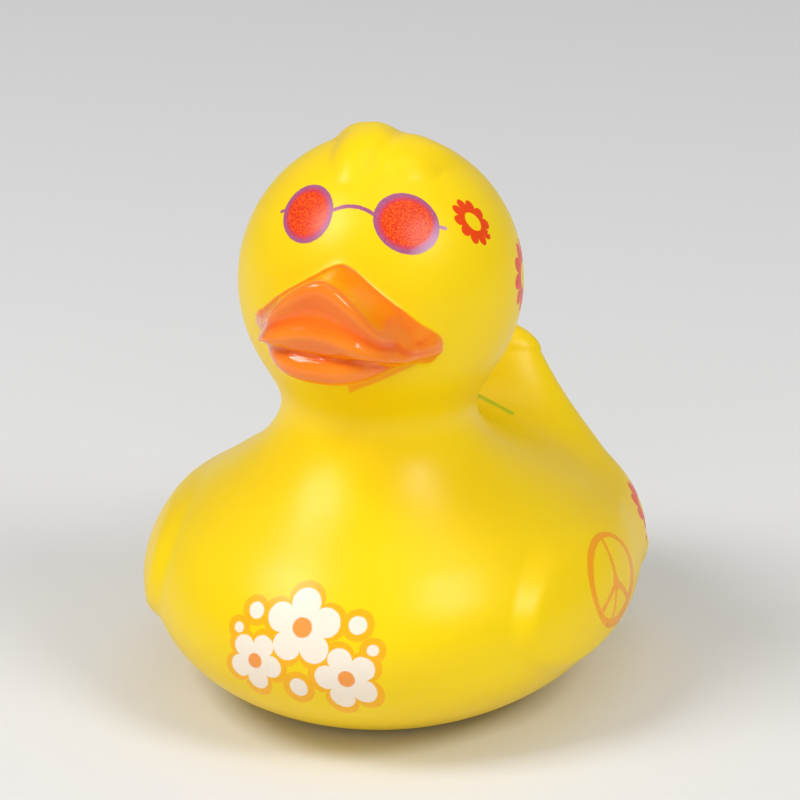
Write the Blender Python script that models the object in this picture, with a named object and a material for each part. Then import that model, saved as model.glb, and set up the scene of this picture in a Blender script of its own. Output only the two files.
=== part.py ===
"""Hollow soft vinyl bath duck with a squeaker pressed into its base.

Metres, +Z up, the duck faces -Y, and the origin is the middle of the flat base.
The body is one rotocast shell: every lump of it (body, neck, head, tail, bill)
starts as a sphere blown out to a formula, the lumps are fused and the fused
skin is then settled onto one smooth blend of all the formulas.
"""
import math

import bpy
import numpy as np

# The shell
WALL = 0.0020
BASE_SINK = 0.00015
BASE_EDGE = 0.0016

# Body: an egg lying on its side
BODY_CENTRE = np.array([0.0, 0.0007, 0.0165])
BODY_RADII = np.array([0.0338, 0.0390, 0.0195])

# Head and neck
HEAD_CENTRE = np.array([0.0, -0.0046, 0.0618])
HEAD_RADII = np.array([0.0199, 0.0202, 0.0206])
NECK_TOP = np.array([0.0, -0.0062, 0.0491])
NECK_FOOT = np.array([0.0, -0.0062, 0.0278])
NECK_TOP_RADIUS = 0.0098
NECK_FOOT_RADIUS = 0.0170
HEAD_TO_NECK_BLEND = 0.0058
NECK_TO_BODY_BLEND = 0.0145

# Tail: a broad upturned wedge
TAIL_ROOT = np.array([0.0, 0.0235, 0.0151])
TAIL_TIP = np.array([0.0, 0.0312, 0.0395])
TAIL_ROOT_RADIUS = 0.0115
TAIL_TIP_RADIUS = 0.0048
TAIL_SPREAD = 2.6
TAIL_BLEND = 0.0074

# Wings: low relief on each flank, measured round the flank and up from the base
WING_LIFT = 0.00125
WING_EDGE = 0.0038
WING_CORNER = 0.0050
WING_GIRTH_RADIUS = 0.0355
WING_FRONT = 0.0280
WING_FRONT_HEIGHT = 0.0185
WING_FRONT_CURVE_UP = 76.0
WING_FRONT_CURVE_DOWN = 110.0
WING_TOP = 0.0295
WING_TOP_FALL = 0.055
WING_BREAK = 0.0520
WING_BOTTOM = 0.0080
WING_BOTTOM_CURVE = 6.0
WING_BOTTOM_START = 0.0400
WING_REAR = 0.0920

# Tuft: two locks of low relief that run back over the crown
MAIN_LOCK_LIFT = 0.0017
MAIN_LOCK_X = -0.0016
MAIN_LOCK_FRONT = 0.0110
MAIN_LOCK_WIDEST = 0.0010
MAIN_LOCK_HALF_WIDTH = 0.0044
MAIN_LOCK_SWEEP = 0.34
MAIN_LOCK_BACK = -0.0102
SIDE_LOCK_LIFT = 0.0012
SIDE_LOCK_X = 0.0053
SIDE_LOCK_FRONT = 0.0085
SIDE_LOCK_WIDEST = 0.0030
SIDE_LOCK_HALF_WIDTH = 0.0046
SIDE_LOCK_SWEEP = -0.20
SIDE_LOCK_BACK = -0.0080
LOCK_EDGE = 0.0034
LOCK_CREASE = 0.00025
LOCK_FADE = 0.0085

# Bill, measured from the middle of the head: sideways, forward and up
BILL_TILT = math.radians(3.0)
BILL_SHIFT = 0.0006
BILL_BACK = 0.0130
BILL_SIDE = 0.0111
BILL_REACH = 0.0169
BILL_SQUARENESS = 3.6
CORNER_FLARE = 0.0016
FLARE_START = 0.0205
FLARE_LENGTH = 0.0060
RIM_HEIGHT = 0.0104
RIM_SLOPE = 0.40
RIM_CURVE = 62.0
RIM_CORNER_HEIGHT = -0.0018
RIM_CORNER_ROUNDING = 0.0012
RIM_ROUNDING = 0.0021
RIM_LEAN = 0.0008
PEAK_ROUNDING = 0.0015
ROOT_HEIGHT = 0.0088
ROOT_SLOPE = 0.755
SADDLE_DEPTH = 0.0012
LIP_HEIGHT = 0.0017
LIP_CURVE = 40.0
LIP_SETBACK = 0.0008
LIP_FULLNESS = 0.0007
LIP_ROUNDING = 0.0013
LIP_EDGE = 0.0013
LIP_CORNER_HEIGHT = -0.0031
LIP_CORNER_ROUNDING = 0.0010
TROUGH_DEPTH = 0.0006
MOUTH_HEIGHT = -0.0016
MOUTH_CURVE = 10.0
LOWER_SIDE = 0.0100
LOWER_REACH = 0.0165
LOWER_SQUARENESS = 2.6
LOWER_MIDDLE = -0.0035
LOWER_MIDDLE_CURVE = 8.0
LOWER_THICKNESS = 0.0043
LOWER_TAPER = 11.0
GUM_INSET = 0.0008
GUM_SETBACK = 0.0021
GUM_HEIGHT = 0.0012
CHEEK_FRONT = np.array([0.0090, -0.0205, -0.0020])
CHEEK_BACK = np.array([0.0110, -0.0148, -0.0021])
CHEEK_FRONT_RADIUS = 0.0012
CHEEK_BACK_RADIUS = 0.0020
CHEEK_BLEND = 0.0022
BILL_BLEND = 0.0009
MOUTH_CREASE = 0.0005

# Squeaker and its seat in the base
GAP = 0.0003
SEAT_Y = BODY_CENTRE[1]
SEAT_RADIUS = 0.0086
SEAT_DEPTH = 0.0020
SEAT_DRAFT = 0.0004
HOLE_RADIUS = 0.0055
FLANGE_RADIUS = SEAT_RADIUS - 0.0006
FLANGE_THICKNESS = 0.0012
BARREL_RADIUS = HOLE_RADIUS - GAP
LIP_OVERHANG = 0.0009
CATCH_HEIGHT = 0.0010
CATCH_TAPER = 0.0010
CHAMBER_RADIUS = 0.0038
CHAMBER_FLOOR = 0.0012
SOUND_HOLE_RADIUS = 0.0012
ROUND_STEPS = 32

# Mesh fineness
OUTER_VOXEL = 0.0006
INNER_VOXEL = 0.0015
OUTER_TRIANGLES = 8200
INNER_TRIANGLES = 1500
SPHERE_DETAIL = 6
LARGEST_RADIUS = 0.060


def smooth_min(a, b, reach):
    """The lower of two fields, rounded where they are closer than 1.5 x reach."""
    near = np.maximum(1.5 * reach - np.abs(a - b), 0) / (1.5 * reach)
    return np.minimum(a, b) - near ** 3 * reach / 4


def smooth_max(a, b, reach):
    """The higher of two fields, rounded in the same way."""
    return -smooth_min(-a, -b, reach)


def smooth_step(t):
    """0 below 0, 1 above 1, and a soft S between."""
    t = np.clip(t, 0, 1)
    return t * t * (3 - 2 * t)


def ellipsoid(p, centre, radii):
    """Near distance to an ellipsoid, negative inside."""
    q = p - centre
    scaled = np.sqrt(((q / radii) ** 2).sum(-1))
    slope = np.sqrt(((q / radii ** 2) ** 2).sum(-1))
    return scaled * (scaled - 1) / np.maximum(slope, 1e-6)


def rounded_cone(p, start, end, start_radius, end_radius, spread=1.0):
    """Distance to a cone with round ends, widened sideways by spread."""
    q = p * np.array([1 / spread, 1, 1])
    run = end - start
    along = np.clip(((q - start) @ run) / (run @ run), 0, 1)
    nearest = start + along[..., None] * run
    radius = start_radius + (end_radius - start_radius) * along
    return np.sqrt(((q - nearest) ** 2).sum(-1)) - radius


def wing_lift(p):
    """How far each flank stands out where its wing is."""
    x, y, z = np.moveaxis(p - BODY_CENTRE, -1, 0)
    height = z + BODY_CENTRE[2]
    girth = WING_GIRTH_RADIUS * np.arctan2(np.abs(x), -y)
    above = np.maximum(height - WING_FRONT_HEIGHT, 0)
    below = np.maximum(WING_FRONT_HEIGHT - height, 0)
    front = WING_FRONT + WING_FRONT_CURVE_UP * above ** 2 + WING_FRONT_CURVE_DOWN * below ** 2
    top = WING_TOP - WING_TOP_FALL * np.maximum(girth - WING_BREAK, 0)
    bottom = WING_BOTTOM + WING_BOTTOM_CURVE * np.maximum(girth - WING_BOTTOM_START, 0) ** 2
    ahead = smooth_min(0.8 * (girth - front), top - height, WING_CORNER)
    behind = smooth_min(height - bottom, 0.7 * (WING_REAR - girth), WING_CORNER)
    return WING_LIFT * smooth_step(smooth_min(ahead, behind, WING_CORNER) / WING_EDGE)


def body(p):
    """The egg and its two wings."""
    return ellipsoid(p, BODY_CENTRE, BODY_RADII) - wing_lift(p)


def neck(p):
    """The neck, a round-ended cone inside the head and the body."""
    return rounded_cone(p, NECK_TOP, NECK_FOOT, NECK_TOP_RADIUS, NECK_FOOT_RADIUS)


def tail(p):
    """The broad upturned tail."""
    return rounded_cone(p, TAIL_ROOT, TAIL_TIP, TAIL_ROOT_RADIUS, TAIL_TIP_RADIUS, TAIL_SPREAD)


def lock_lift(p, lift, x, front, widest, half_width, sweep, back):
    """How far one lock stands out: blunt in front, swept aside and fading behind."""
    sideways, y, z = np.moveaxis(p - HEAD_CENTRE, -1, 0)
    behind = np.maximum(widest + y, 0)
    across = (sideways - x + sweep * behind) / (half_width + 0.12 * behind)
    ahead = np.maximum(-y - widest, 0) / (front - widest)
    inside = np.clip((1 - np.hypot(ahead, across)) * half_width / LOCK_EDGE, 0, 1)
    fade = smooth_step((-y - back) / LOCK_FADE) * smooth_step(2 * z / HEAD_RADII[2])
    return lift * inside * (2 - inside) * fade


def head(p):
    """The head and its tuft."""
    main_lock = lock_lift(p, MAIN_LOCK_LIFT, MAIN_LOCK_X, MAIN_LOCK_FRONT, MAIN_LOCK_WIDEST,
                          MAIN_LOCK_HALF_WIDTH, MAIN_LOCK_SWEEP, MAIN_LOCK_BACK)
    side_lock = lock_lift(p, SIDE_LOCK_LIFT, SIDE_LOCK_X, SIDE_LOCK_FRONT, SIDE_LOCK_WIDEST,
                          SIDE_LOCK_HALF_WIDTH, SIDE_LOCK_SWEEP, SIDE_LOCK_BACK)
    return ellipsoid(p, HEAD_CENTRE, HEAD_RADII) - smooth_max(main_lock, side_lock, LOCK_CREASE)


def bill_frame(p):
    """Sideways, forward and up from the middle of the head, tilted as the bill is."""
    x, y, z = np.moveaxis(p - HEAD_CENTRE, -1, 0)
    c, s = math.cos(BILL_TILT), math.sin(BILL_TILT)
    return c * x - s * z - BILL_SHIFT, -y, s * x + c * z


def plan_shares(x, forward, side, reach):
    """How far out and how far forward a point is, 1 being the plan outline."""
    flare = CORNER_FLARE * smooth_step((FLARE_START - forward) / FLARE_LENGTH)
    return np.abs(x) / (side + flare), np.maximum(forward - BILL_BACK, 0) / reach


def outside_plan(x, forward, side, reach, squareness):
    """Distance outside a rounded plan outline, seen from above."""
    u, v = plan_shares(x, forward, side, reach)
    g = np.maximum((u ** squareness + v ** squareness) ** (1 / squareness), 1e-6)
    power = squareness - 1
    slope = np.hypot(u ** power / side, v ** power / reach) / g ** power
    return (g - 1) / np.maximum(slope, 1.0)


def along_plan(x, forward):
    """How far from the bill's root line to its rim a point is, from 0 to 1."""
    u, v = plan_shares(x, forward, BILL_SIDE, BILL_REACH)
    rim = np.maximum(1 - u ** BILL_SQUARENESS, 0.03) ** (1 / BILL_SQUARENESS)
    return np.clip(v / rim, 0, 1.1)


def lip_line(x):
    """Height of the upper bill's lower edge."""
    return smooth_max(LIP_HEIGHT - LIP_CURVE * x ** 2, LIP_CORNER_HEIGHT, LIP_CORNER_ROUNDING)


def mouth_line(x):
    """Height of the crease between the two halves of the bill."""
    return smooth_min(MOUTH_HEIGHT + MOUTH_CURVE * x ** 2, lip_line(x) - GAP, 0.0010)


def upper_bill(x, forward, z):
    """The upper half: a saddle behind an upturned rim, with a hollowed front face."""
    peak = np.sqrt(x ** 2 + PEAK_ROUNDING ** 2) - PEAK_ROUNDING
    crest = RIM_HEIGHT - RIM_SLOPE * peak - RIM_CURVE * x ** 2
    crest = smooth_max(crest, RIM_CORNER_HEIGHT, RIM_CORNER_ROUNDING)
    root = ROOT_HEIGHT - ROOT_SLOPE * peak
    out = outside_plan(x, forward, BILL_SIDE, BILL_REACH, BILL_SQUARENESS)
    along = along_plan(x, forward)
    dip = SADDLE_DEPTH * np.sin(math.pi * np.clip(along, 0, 1) ** 2)
    top = root + (crest - root) * smooth_step((along - 0.3) / 0.65) - dip
    lip = lip_line(x)
    up_face = np.clip((z - lip) / np.maximum(crest - lip, 0.0012), 0, 1)
    trough = TROUGH_DEPTH * np.sin(math.pi * np.clip(up_face / 0.8, 0, 1)) ** 2
    under = np.maximum(lip - z, 0)
    tuck = 0.2 * under ** 2 / (under + 0.0015)
    lip_roll = LIP_FULLNESS * np.exp(-((z - lip) / LIP_ROUNDING) ** 2)
    lean = LIP_SETBACK * (1 - up_face) + RIM_LEAN * up_face ** 2
    face = out + lean + trough + tuck - lip_roll
    skin = smooth_max(0.8 * (z - top), 0.9 * face, RIM_ROUNDING)
    return smooth_max(skin, 0.9 * (mouth_line(x) - z), LIP_EDGE)


def lower_bill(x, forward, z):
    """The lower half: a full round-edged cushion under the mouth."""
    out = outside_plan(x, forward, LOWER_SIDE, LOWER_REACH, LOWER_SQUARENESS)
    radius = np.maximum(0.5 * LOWER_THICKNESS - 0.5 * LOWER_TAPER * x ** 2, 0.0006)
    height = z - LOWER_MIDDLE - LOWER_MIDDLE_CURVE * x ** 2
    return np.hypot(np.maximum(out + radius, 0), height) - radius


def gum(x, forward, z):
    """What fills the mouth behind the lips, so that it is a shallow crease."""
    out = outside_plan(x, forward, BILL_SIDE - GUM_INSET, BILL_REACH - GUM_SETBACK, BILL_SQUARENESS)
    return smooth_max(out, np.abs(z - mouth_line(x)) - GUM_HEIGHT, GUM_HEIGHT)


def cheeks(x, forward, z):
    """The round corners of the mouth, where both halves meet the head."""
    q = np.stack([np.abs(x), -forward, z], -1)
    return rounded_cone(q, CHEEK_FRONT, CHEEK_BACK, CHEEK_FRONT_RADIUS, CHEEK_BACK_RADIUS)


def bill(p):
    """The whole bill, from its root inside the head to the rim."""
    x, forward, z = bill_frame(p)
    both = smooth_min(upper_bill(x, forward, z), lower_bill(x, forward, z), MOUTH_CREASE)
    both = smooth_min(both, gum(x, forward, z), MOUTH_CREASE)
    both = smooth_max(both, 0.5 * BILL_BACK - forward, MOUTH_CREASE)
    return smooth_min(both, cheeks(x, forward, z), CHEEK_BLEND)


def bare_of(p):
    """All the lumps but the bill, blended as the mould has them."""
    duck = smooth_min(head(p), neck(p), HEAD_TO_NECK_BLEND)
    duck = smooth_min(duck, body(p), NECK_TO_BODY_BLEND)
    return smooth_min(duck, tail(p), TAIL_BLEND)


def skin_of(p):
    """The outer skin."""
    duck = smooth_min(bare_of(p), bill(p), BILL_BLEND)
    return smooth_max(duck, -BASE_SINK - p[..., 2], BASE_EDGE)


def cavity_of(p):
    """The inside of the shell, one wall in from the skin, over a thicker floor."""
    floor = SEAT_DEPTH + WALL - p[..., 2]
    return smooth_max(skin_of(p) + WALL, floor, BASE_EDGE)


def bill_middle():
    """A point well inside the bill."""
    return HEAD_CENTRE + np.array([0.0, -(BILL_BACK + 0.3 * BILL_REACH), 0.0])


def tail_middle():
    """A point well inside the tail."""
    return 0.45 * TAIL_ROOT + 0.55 * TAIL_TIP


LUMPS = (
    ("body", BODY_CENTRE, body),
    ("neck", 0.5 * (NECK_TOP + NECK_FOOT), neck),
    ("head", HEAD_CENTRE, head),
    ("tail", tail_middle(), tail),
    ("bill", bill_middle(), bill),
)


def link(mesh, name):
    """A new object for a mesh."""
    thing = bpy.data.objects.new(name, mesh)
    bpy.context.scene.collection.objects.link(thing)
    return thing


def points_of(mesh):
    """A mesh's points as rows of x, y and z."""
    points = np.empty(3 * len(mesh.vertices))
    mesh.vertices.foreach_get("co", points)
    return points.reshape(-1, 3)


def put_points(mesh, points):
    """Write the points back."""
    mesh.vertices.foreach_set("co", points.ravel())
    mesh.update()


def evaluated_copy(thing, name):
    """The mesh of an object with its modifiers applied."""
    graph = bpy.context.evaluated_depsgraph_get()
    mesh = bpy.data.meshes.new_from_object(thing.evaluated_get(graph))
    mesh.name = name
    return mesh


def delete(thing):
    """Remove an object that has done its work."""
    bpy.data.objects.remove(thing, do_unlink=True)


def blown_sphere(name, centre, field):
    """A sphere whose points are sent out along their rays to a field's surface."""
    bpy.ops.mesh.primitive_ico_sphere_add(subdivisions=SPHERE_DETAIL, radius=1.0)
    ball = bpy.context.object
    ball.name = name
    ray = points_of(ball.data)
    near = np.zeros(len(ray))
    far = np.full(len(ray), LARGEST_RADIUS)
    for _ in range(20):
        middle = 0.5 * (near + far)
        inside = field(centre + ray * middle[:, None]) < 0
        near = np.where(inside, middle, near)
        far = np.where(inside, far, middle)
    put_points(ball.data, centre + ray * near[:, None])
    return ball


def fused(name, lumps, voxel):
    """All the lumps as one closed mesh of even faces."""
    for lump in bpy.context.selected_objects:
        lump.select_set(False)
    for lump in lumps:
        lump.select_set(True)
    bpy.context.view_layer.objects.active = lumps[0]
    bpy.ops.object.join()
    whole = bpy.context.object
    remesh = whole.modifiers.new("fuse", "REMESH")
    remesh.mode = "VOXEL"
    remesh.voxel_size = voxel
    remesh.adaptivity = 0.0
    thing = link(evaluated_copy(whole, name), name)
    delete(whole)
    return thing


def onto_surface(points, field, rounds):
    """Move points square onto a field's surface."""
    step = 2e-5
    for _ in range(rounds):
        slope = np.empty_like(points)
        for axis in range(3):
            ahead = np.zeros(3)
            ahead[axis] = step
            slope[:, axis] = (field(points + ahead) - field(points - ahead)) / (2 * step)
        steep = np.maximum((slope ** 2).sum(-1), 0.04)
        move = -slope * (field(points) / steep)[:, None]
        length = np.linalg.norm(move, axis=-1)
        points = points + move * np.minimum(1, 0.002 / np.maximum(length, 1e-9))[:, None]
    return points


def relaxed(points, ends):
    """Each point halfway to the middle of its neighbours."""
    total = np.zeros_like(points)
    count = np.zeros(len(points))
    for a, b in ((0, 1), (1, 0)):
        np.add.at(total, ends[:, a], points[ends[:, b]])
        np.add.at(count, ends[:, a], 1)
    return 0.5 * (points + total / count[:, None])


def settle(thing, field):
    """Bring a fused mesh onto the smooth skin, with its faces kept even."""
    mesh = thing.data
    ends = np.empty(2 * len(mesh.edges), dtype=np.int64)
    mesh.edges.foreach_get("vertices", ends)
    ends = ends.reshape(-1, 2)
    points = onto_surface(points_of(mesh), field, 4)
    for _ in range(2):
        points = onto_surface(relaxed(points, ends), field, 3)
    put_points(mesh, points)


def thinned(thing, name, triangles):
    """The same shape with fewer faces, closest where it curves most."""
    corners = sum(len(face.vertices) - 2 for face in thing.data.polygons)
    thin = thing.modifiers.new("thin", "DECIMATE")
    thin.ratio = min(1.0, triangles / corners)
    thin.use_collapse_triangulate = True
    result = link(evaluated_copy(thing, name), name)
    delete(thing)
    return result


def lumps_for(field_change):
    """The starting lumps, each grown or shrunk by the same amount."""
    made = []
    for name, centre, field in LUMPS:
        made.append(blown_sphere(name, centre, lambda p, f=field: f(p) + field_change))
    return made


def as_cutter(thing):
    """Keep a shape as a tool only."""
    thing.hide_render = True
    thing.display_type = "WIRE"
    return thing


def turned(name, profile, closed):
    """A solid turned about the seat's axis from radius and height pairs."""
    mesh = bpy.data.meshes.new(name)
    count = len(profile)
    edges = [(i, i + 1) for i in range(count - 1)]
    if closed:
        edges.append((count - 1, 0))
    mesh.from_pydata([(radius, 0.0, height) for radius, height in profile], edges, [])
    thing = link(mesh, name)
    thing.location = (0.0, SEAT_Y, 0.0)
    screw = thing.modifiers.new("turn", "SCREW")
    screw.steps = ROUND_STEPS
    screw.render_steps = ROUND_STEPS
    screw.use_merge_vertices = True
    screw.merge_threshold = 0.00001
    return thing


def seat_cutter():
    """What the mould leaves open in the base: a shallow seat and a round hole."""
    below = -0.0010
    above = SEAT_DEPTH + WALL + 0.0010
    draft = SEAT_DRAFT * (SEAT_DEPTH - below) / SEAT_DEPTH
    profile = (
        (0.0, above),
        (HOLE_RADIUS, above),
        (HOLE_RADIUS, SEAT_DEPTH),
        (SEAT_RADIUS, SEAT_DEPTH),
        (SEAT_RADIUS + draft, below),
        (0.0, below),
    )
    return as_cutter(turned("seat_cutter", profile, False))


def base_cutter():
    """A block under the duck, whose top is the plane of the base."""
    bpy.ops.mesh.primitive_cube_add(size=1.0)
    block = bpy.context.object
    block.name = "base_cutter"
    block.scale = (4 * BODY_RADII[0], 4 * BODY_RADII[1], WALL)
    block.location = (0.0, 0.0, -0.5 * WALL)
    bpy.ops.object.transform_apply(location=False, rotation=False, scale=True)
    return as_cutter(block)


def cut(thing, cutter):
    """Take a cutter's shape out of a solid."""
    boolean = thing.modifiers.new(cutter.name, "BOOLEAN")
    boolean.operation = "DIFFERENCE"
    boolean.solver = "EXACT"
    boolean.object = cutter


def material(name, colour, roughness):
    """A plain plastic colour."""
    made = bpy.data.materials.new(name)
    made.use_nodes = True
    shader = made.node_tree.nodes["Principled BSDF"]
    shader.inputs["Base Color"].default_value = (*colour, 1.0)
    shader.inputs["Roughness"].default_value = roughness
    shader.inputs["Metallic"].default_value = 0.0
    return made


def duck_body():
    """The hollow vinyl shell."""
    cavity = fused("cavity", lumps_for(WALL), INNER_VOXEL)
    settle(cavity, cavity_of)
    cavity = as_cutter(thinned(cavity, "cavity_cutter", INNER_TRIANGLES))
    shell = fused("shell", lumps_for(0.0), OUTER_VOXEL)
    settle(shell, skin_of)
    shell = thinned(shell, "duck_body", OUTER_TRIANGLES)
    shell.data.shade_smooth()
    tools = (base_cutter(), cavity, seat_cutter())
    for tool in tools:
        cut(shell, tool)
    shell.data.materials.append(material("yellow_vinyl", (0.93, 0.66, 0.02), 0.35))
    return shell, tools


def squeaker():
    """The plastic disc that lets the air in and out, open through its middle."""
    flange_top = SEAT_DEPTH - GAP
    flange_bottom = flange_top - FLANGE_THICKNESS
    catch_bottom = SEAT_DEPTH + WALL + GAP
    catch_top = catch_bottom + CATCH_HEIGHT
    top = catch_top + CATCH_TAPER
    profile = (
        (CHAMBER_RADIUS, top),
        (BARREL_RADIUS, top),
        (BARREL_RADIUS + LIP_OVERHANG, catch_top),
        (BARREL_RADIUS + LIP_OVERHANG, catch_bottom),
        (BARREL_RADIUS, catch_bottom),
        (BARREL_RADIUS, flange_top),
        (FLANGE_RADIUS, flange_top),
        (FLANGE_RADIUS, flange_bottom),
        (SOUND_HOLE_RADIUS, flange_bottom),
        (SOUND_HOLE_RADIUS, flange_bottom + CHAMBER_FLOOR),
        (CHAMBER_RADIUS, flange_bottom + CHAMBER_FLOOR),
    )
    disc = turned("squeaker", profile, True)
    disc.data.materials.append(material("white_plastic", (0.85, 0.84, 0.80), 0.45))
    return disc


def stand_on_origin(things, shell):
    """Put the middle of the base's length on the origin."""
    points = points_of(evaluated_copy(shell, "measure"))
    middle = 0.5 * (points[:, 1].min() + points[:, 1].max())
    origin = bpy.data.objects.new("duck_origin", None)
    bpy.context.scene.collection.objects.link(origin)
    origin.location = (0.0, -middle, 0.0)
    for thing in things:
        thing.parent = origin


def main():
    """Build the two pieces."""
    for thing in list(bpy.data.objects):
        delete(thing)
    shell, tools = duck_body()
    stand_on_origin((shell, squeaker(), *tools), shell)


main()
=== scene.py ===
"""Soft vinyl bath duck with a painted bill and printed ornaments, in a plain studio.

Metres, +Z up, the duck faces -Y. The visible skin is made from the same named
sizes as the part, at a finer pitch, and takes the place of the duck_body node.
All prints are drawn in shader nodes, in millimetres on the surface.
"""

import math

import bmesh
import bpy
import numpy as np
from mathutils import Matrix, Vector


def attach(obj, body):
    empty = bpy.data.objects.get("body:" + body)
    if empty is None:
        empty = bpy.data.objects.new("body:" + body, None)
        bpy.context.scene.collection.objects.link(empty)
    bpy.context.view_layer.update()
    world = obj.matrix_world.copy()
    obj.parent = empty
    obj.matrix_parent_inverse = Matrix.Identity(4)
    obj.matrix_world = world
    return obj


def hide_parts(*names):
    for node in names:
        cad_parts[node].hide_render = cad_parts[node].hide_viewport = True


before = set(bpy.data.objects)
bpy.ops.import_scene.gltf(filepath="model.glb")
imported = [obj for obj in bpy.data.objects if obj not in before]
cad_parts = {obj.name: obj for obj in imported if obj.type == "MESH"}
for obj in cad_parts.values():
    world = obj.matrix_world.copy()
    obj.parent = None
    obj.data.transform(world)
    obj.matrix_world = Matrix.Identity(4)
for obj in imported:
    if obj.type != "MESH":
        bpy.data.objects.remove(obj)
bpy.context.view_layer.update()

MM = 0.001

# The shell, in the sizes of the part
WALL = 0.0020
BASE_SINK = 0.00015
BASE_EDGE = 0.0016
BODY_CENTRE = np.array([0.0, 0.0007, 0.0165])
BODY_RADII = np.array([0.0338, 0.0390, 0.0195])
HEAD_CENTRE = np.array([0.0, -0.0046, 0.0618])
HEAD_RADII = np.array([0.0199, 0.0202, 0.0206])
NECK_TOP = np.array([0.0, -0.0062, 0.0491])
NECK_FOOT = np.array([0.0, -0.0062, 0.0278])
NECK_TOP_RADIUS = 0.0098
NECK_FOOT_RADIUS = 0.0170
HEAD_TO_NECK_BLEND = 0.0058
NECK_TO_BODY_BLEND = 0.0145
TAIL_ROOT = np.array([0.0, 0.0235, 0.0151])
TAIL_TIP = np.array([0.0, 0.0312, 0.0395])
TAIL_ROOT_RADIUS = 0.0115
TAIL_TIP_RADIUS = 0.0048
TAIL_SPREAD = 2.6
TAIL_BLEND = 0.0074
WING_LIFT = 0.00125
WING_EDGE = 0.0038
WING_CORNER = 0.0050
WING_GIRTH_RADIUS = 0.0355
WING_FRONT = 0.0280
WING_FRONT_HEIGHT = 0.0185
WING_FRONT_CURVE_UP = 76.0
WING_FRONT_CURVE_DOWN = 110.0
WING_TOP = 0.0295
WING_TOP_FALL = 0.055
WING_BREAK = 0.0520
WING_BOTTOM = 0.0080
WING_BOTTOM_CURVE = 6.0
WING_BOTTOM_START = 0.0400
WING_REAR = 0.0920
MAIN_LOCK_LIFT = 0.0017
MAIN_LOCK_X = -0.0016
MAIN_LOCK_FRONT = 0.0110
MAIN_LOCK_WIDEST = 0.0010
MAIN_LOCK_HALF_WIDTH = 0.0044
MAIN_LOCK_SWEEP = 0.34
MAIN_LOCK_BACK = -0.0102
SIDE_LOCK_LIFT = 0.0012
SIDE_LOCK_X = 0.0053
SIDE_LOCK_FRONT = 0.0085
SIDE_LOCK_WIDEST = 0.0030
SIDE_LOCK_HALF_WIDTH = 0.0046
SIDE_LOCK_SWEEP = -0.20
SIDE_LOCK_BACK = -0.0080
LOCK_EDGE = 0.0034
LOCK_CREASE = 0.00025
LOCK_FADE = 0.0085
BILL_TILT = math.radians(3.0)
BILL_SHIFT = 0.0006
BILL_BACK = 0.0130
BILL_SIDE = 0.0111
BILL_REACH = 0.0169
BILL_SQUARENESS = 3.6
CORNER_FLARE = 0.0016
FLARE_START = 0.0205
FLARE_LENGTH = 0.0060
RIM_HEIGHT = 0.0104
RIM_SLOPE = 0.40
RIM_CURVE = 62.0
RIM_CORNER_HEIGHT = -0.0018
RIM_CORNER_ROUNDING = 0.0012
RIM_ROUNDING = 0.0021
RIM_LEAN = 0.0008
PEAK_ROUNDING = 0.0015
ROOT_HEIGHT = 0.0088
ROOT_SLOPE = 0.755
SADDLE_DEPTH = 0.0012
LIP_HEIGHT = 0.0017
LIP_CURVE = 40.0
LIP_SETBACK = 0.0008
LIP_FULLNESS = 0.0007
LIP_ROUNDING = 0.0013
LIP_EDGE = 0.0013
LIP_CORNER_HEIGHT = -0.0031
LIP_CORNER_ROUNDING = 0.0010
TROUGH_DEPTH = 0.0006
MOUTH_HEIGHT = -0.0016
MOUTH_CURVE = 10.0
LOWER_SIDE = 0.0100
LOWER_REACH = 0.0165
LOWER_SQUARENESS = 2.6
LOWER_MIDDLE = -0.0035
LOWER_MIDDLE_CURVE = 8.0
LOWER_THICKNESS = 0.0043
LOWER_TAPER = 11.0
GUM_INSET = 0.0008
GUM_SETBACK = 0.0021
GUM_HEIGHT = 0.0012
CHEEK_FRONT = np.array([0.0090, -0.0205, -0.0020])
CHEEK_BACK = np.array([0.0110, -0.0148, -0.0021])
CHEEK_FRONT_RADIUS = 0.0012
CHEEK_BACK_RADIUS = 0.0020
CHEEK_BLEND = 0.0022
BILL_BLEND = 0.0009
MOUTH_CREASE = 0.0005
GAP = 0.0003
SEAT_Y = BODY_CENTRE[1]
SEAT_RADIUS = 0.0086
SEAT_DEPTH = 0.0020
SEAT_DRAFT = 0.0004
HOLE_RADIUS = 0.0055

# Mesh fineness
SKIN_VOXEL = 0.0006
CAVITY_VOXEL = 0.0016
SPHERE_DETAIL = 6
LARGEST_RADIUS = 0.060
HALVINGS = 18
PROBE = 0.00002
LEAST_SLOPE_SQUARED = 0.04
LONGEST_MOVE = 0.002
BILL_MARGIN = 0.0007
FOLD_PROBE = 0.0006
FOLD_RADIUS = 0.0016
CUT_OVER = 0.0010
SEAT_STEPS = 96
SHARP_ANGLE = math.radians(50)

# Colours, as screen values of 0 to 255
YELLOW = (252, 212, 0), (254, 219, 2)
ORANGE = (255, 116, 2), (255, 134, 8)
FOLD_SHADE_ORANGE = (244, 88, 0)
# Painted shade: a deeper orange laid into the bill's folds
RIDGE_HIGHLIGHT_ORANGE = (255, 158, 50)
# Painted highlight: a paler orange laid onto the bill's ridges
THIN_ORANGE = (255, 152, 20)
MAUVE = (150, 52, 118), (180, 88, 150)
MAGENTA = (200, 14, 74), (220, 40, 96)
# Painted sheen for the lower right of the right frame of the glasses
PAINTED_SHEEN_LAVENDER = (206, 160, 204)
LENS_RED = (222, 30, 0), (255, 104, 14)
DAISY_RED = (240, 60, 2)
PEACE_ORANGE = (252, 158, 16)
GOLD = (255, 182, 22)
CREAM = (252, 240, 222)
HEART_ORANGE = (250, 150, 30)
STEM_GREEN = (120, 190, 30)
OFF_WHITE = (226, 222, 210), (238, 236, 228)
FLOOR_SHADE = 0.80
WORLD_LEVEL = 0.30
LIGHT_TARGET = Vector((0.0, 0.0, 0.04))

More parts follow.
